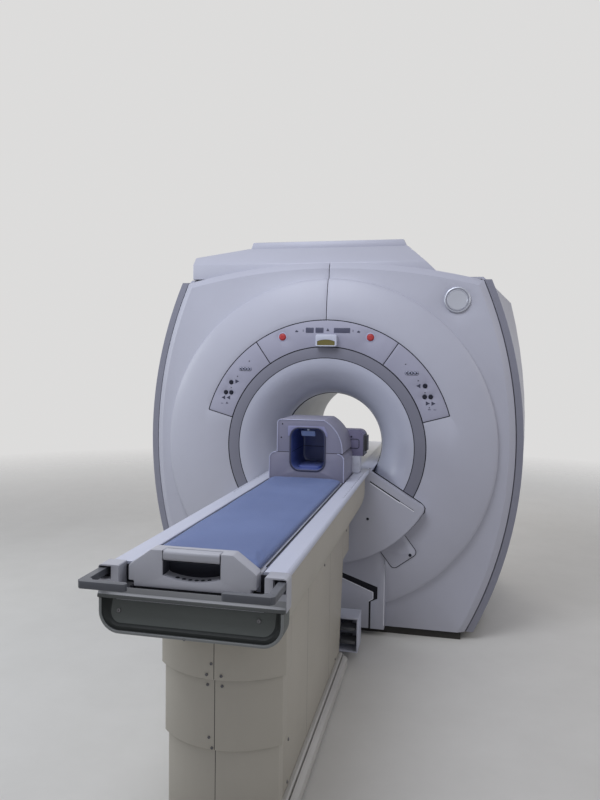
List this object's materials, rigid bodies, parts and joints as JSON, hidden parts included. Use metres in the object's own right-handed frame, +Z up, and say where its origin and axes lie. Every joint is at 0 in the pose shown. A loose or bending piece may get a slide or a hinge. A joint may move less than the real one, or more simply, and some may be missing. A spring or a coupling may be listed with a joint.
{
  "type": "mri scanner",
  "caption": "Ring magnet scanner in moulded covers with a docked patient table, a sliding padded cradle and a head coil.",
  "frame": {"origin": "on the floor under the isocentre, midway between the front ring and the rear face", "axes": "+X to the right seen from the table, +Y along the bore into the magnet, +Z up"},
  "size_m": [2.2556, 3.9, 2.27],
  "materials": {
    "magnet_steel": "satin",
    "plinth_black": "matt",
    "coil_resin": "matt",
    "bore_plastic": "satin",
    "cover_plastic": "satin",
    "trim_grey": "satin",
    "window_amber": "gloss",
    "badge_silver": "satin",
    "stop_red": "gloss",
    "key_grey": "satin",
    "frame_steel": "matt",
    "sill_aluminium": "satin",
    "panel_beige": "satin",
    "rail_lavender": "satin",
    "tray_dark": "satin",
    "handle_grey": "satin",
    "pad_blue": "matt",
    "coil_plastic": "satin",
    "coil_glass": "gloss",
    "module_dark": "satin",
    "wheel_rubber": "matt"
  },
  "bodies": {
    "magnet": {"magnet_base": "plinth_black", "magnet_vessel": "magnet_steel", "gradient_coil": "coil_resin", "bore_liner": "bore_plastic", "front_bell": "bore_plastic", "rear_bell": "bore_plastic", "ring_trim": "trim_grey", "console_center": "cover_plastic", "console_left": "cover_plastic", "console_right": "cover_plastic", "light_housing": "cover_plastic", "light_window": "window_amber", "badge": "badge_silver", "front_cover_left": "cover_plastic", "front_cover_right": "cover_plastic", "side_trims": "trim_grey", "side_cover_left": "cover_plastic", "side_cover_right": "cover_plastic", "rear_cover": "cover_plastic", "top_hood": "cover_plastic", "top_cap": "cover_plastic", "bridge_panel": "cover_plastic", "bore_track": "bore_plastic", "service_hatch": "cover_plastic", "dock_frame": "cover_plastic", "dock_cover": "cover_plastic"},
    "stop_left": {"stop_button_left": "stop_red"},
    "stop_right": {"stop_button_right": "stop_red"},
    "key_left_1": {"left_key_1": "key_grey"},
    "key_left_2": {"left_key_2": "key_grey"},
    "key_left_3": {"left_key_3": "key_grey"},
    "key_right_1": {"right_key_1": "key_grey"},
    "key_right_2": {"right_key_2": "key_grey"},
    "key_right_3": {"right_key_3": "key_grey"},
    "table_base": {"table_chassis": "frame_steel", "side_sills": "sill_aluminium", "side_panels": "panel_beige", "skirt_lower": "panel_beige", "column_outer": "frame_steel", "pedal_housings": "rail_lavender"},
    "mid_skirt": {"skirt_middle": "panel_beige"},
    "table_top": {"skirt_upper": "panel_beige", "column_inner": "frame_steel", "table_tub": "panel_beige", "side_rails": "rail_lavender", "end_casting": "rail_lavender", "end_tray": "tray_dark", "push_handles": "handle_grey"},
    "cradle_unit": {"cradle": "rail_lavender", "cradle_block": "rail_lavender", "cradle_grip": "rail_lavender", "mattress": "pad_blue", "coil_base": "coil_plastic", "coil_top": "coil_plastic", "coil_mirror": "coil_glass", "coil_module": "module_dark"},
    "lift_pedal_unit": {"lift_pedal": "handle_grey"},
    "dock_pedal_unit": {"dock_pedal": "handle_grey"},
    "foot_axle": {"foot_wheels": "wheel_rubber"},
    "head_axle": {"head_wheels": "wheel_rubber"}
  },
  "joints": [
    {"name": "table_undock", "type": "slide", "parent": "magnet", "child": "table_base", "axis": [0, 1, 0], "range_m": [-1.2, 0]},
    {"name": "table_lift", "type": "slide", "parent": "table_base", "child": "table_top", "axis": [0, 0, 1], "range_m": [-0.205, 0]},
    {"name": "skirt_follow", "type": "slide", "parent": "table_base", "child": "mid_skirt", "axis": [0, 0, 1], "range_m": [-0.1025, 0]},
    {"name": "cradle_slide", "type": "slide", "parent": "table_top", "child": "cradle_unit", "axis": [0, 1, 0], "range_m": [0, 1.65]},
    {"name": "lift_pedal_press", "type": "hinge", "parent": "table_base", "child": "lift_pedal_unit", "pos_m": [0, -1.09, 0.165], "axis": [1, 0, 0], "range_deg": [0, 12], "stiffness_Nm_per_rad": 10, "springref_deg": -17.19},
    {"name": "dock_pedal_press", "type": "hinge", "parent": "table_base", "child": "dock_pedal_unit", "pos_m": [0, -1.09, 0.096], "axis": [1, 0, 0], "range_deg": [0, 12], "stiffness_Nm_per_rad": 10, "springref_deg": -17.19},
    {"name": "foot_wheel_roll", "type": "hinge", "parent": "table_base", "child": "foot_axle", "pos_m": [0, -2.5, 0.05], "axis": [1, 0, 0], "continuous": true},
    {"name": "head_wheel_roll", "type": "hinge", "parent": "table_base", "child": "head_axle", "pos_m": [0, -1.4, 0.05], "axis": [1, 0, 0], "continuous": true},
    {"name": "stop_left_press", "type": "slide", "parent": "magnet", "child": "stop_left", "axis": [0, 1, 0], "range_m": [0, 0.0025], "stiffness_N_per_m": 1000, "springref_m": -0.001},
    {"name": "key_left_1_press", "type": "slide", "parent": "magnet", "child": "key_left_1", "axis": [0, 1, 0], "range_m": [0, 0.0025], "stiffness_N_per_m": 600, "springref_m": -0.001},
    {"name": "key_left_2_press", "type": "slide", "parent": "magnet", "child": "key_left_2", "axis": [0, 1, 0], "range_m": [0, 0.0025], "stiffness_N_per_m": 600, "springref_m": -0.001},
    {"name": "key_left_3_press", "type": "slide", "parent": "magnet", "child": "key_left_3", "axis": [0, 1, 0], "range_m": [0, 0.0025], "stiffness_N_per_m": 600, "springref_m": -0.001},
    {"name": "stop_right_press", "type": "slide", "parent": "magnet", "child": "stop_right", "axis": [0, 1, 0], "range_m": [0, 0.0025], "stiffness_N_per_m": 1000, "springref_m": -0.001},
    {"name": "key_right_1_press", "type": "slide", "parent": "magnet", "child": "key_right_1", "axis": [0, 1, 0], "range_m": [0, 0.0025], "stiffness_N_per_m": 600, "springref_m": -0.001},
    {"name": "key_right_2_press", "type": "slide", "parent": "magnet", "child": "key_right_2", "axis": [0, 1, 0], "range_m": [0, 0.0025], "stiffness_N_per_m": 600, "springref_m": -0.001},
    {"name": "key_right_3_press", "type": "slide", "parent": "magnet", "child": "key_right_3", "axis": [0, 1, 0], "range_m": [0, 0.0025], "stiffness_N_per_m": 600, "springref_m": -0.001}
  ],
  "couplings": [
    {"joint": "skirt_follow", "follows": "table_lift", "ratio": 0.5}
  ]
}
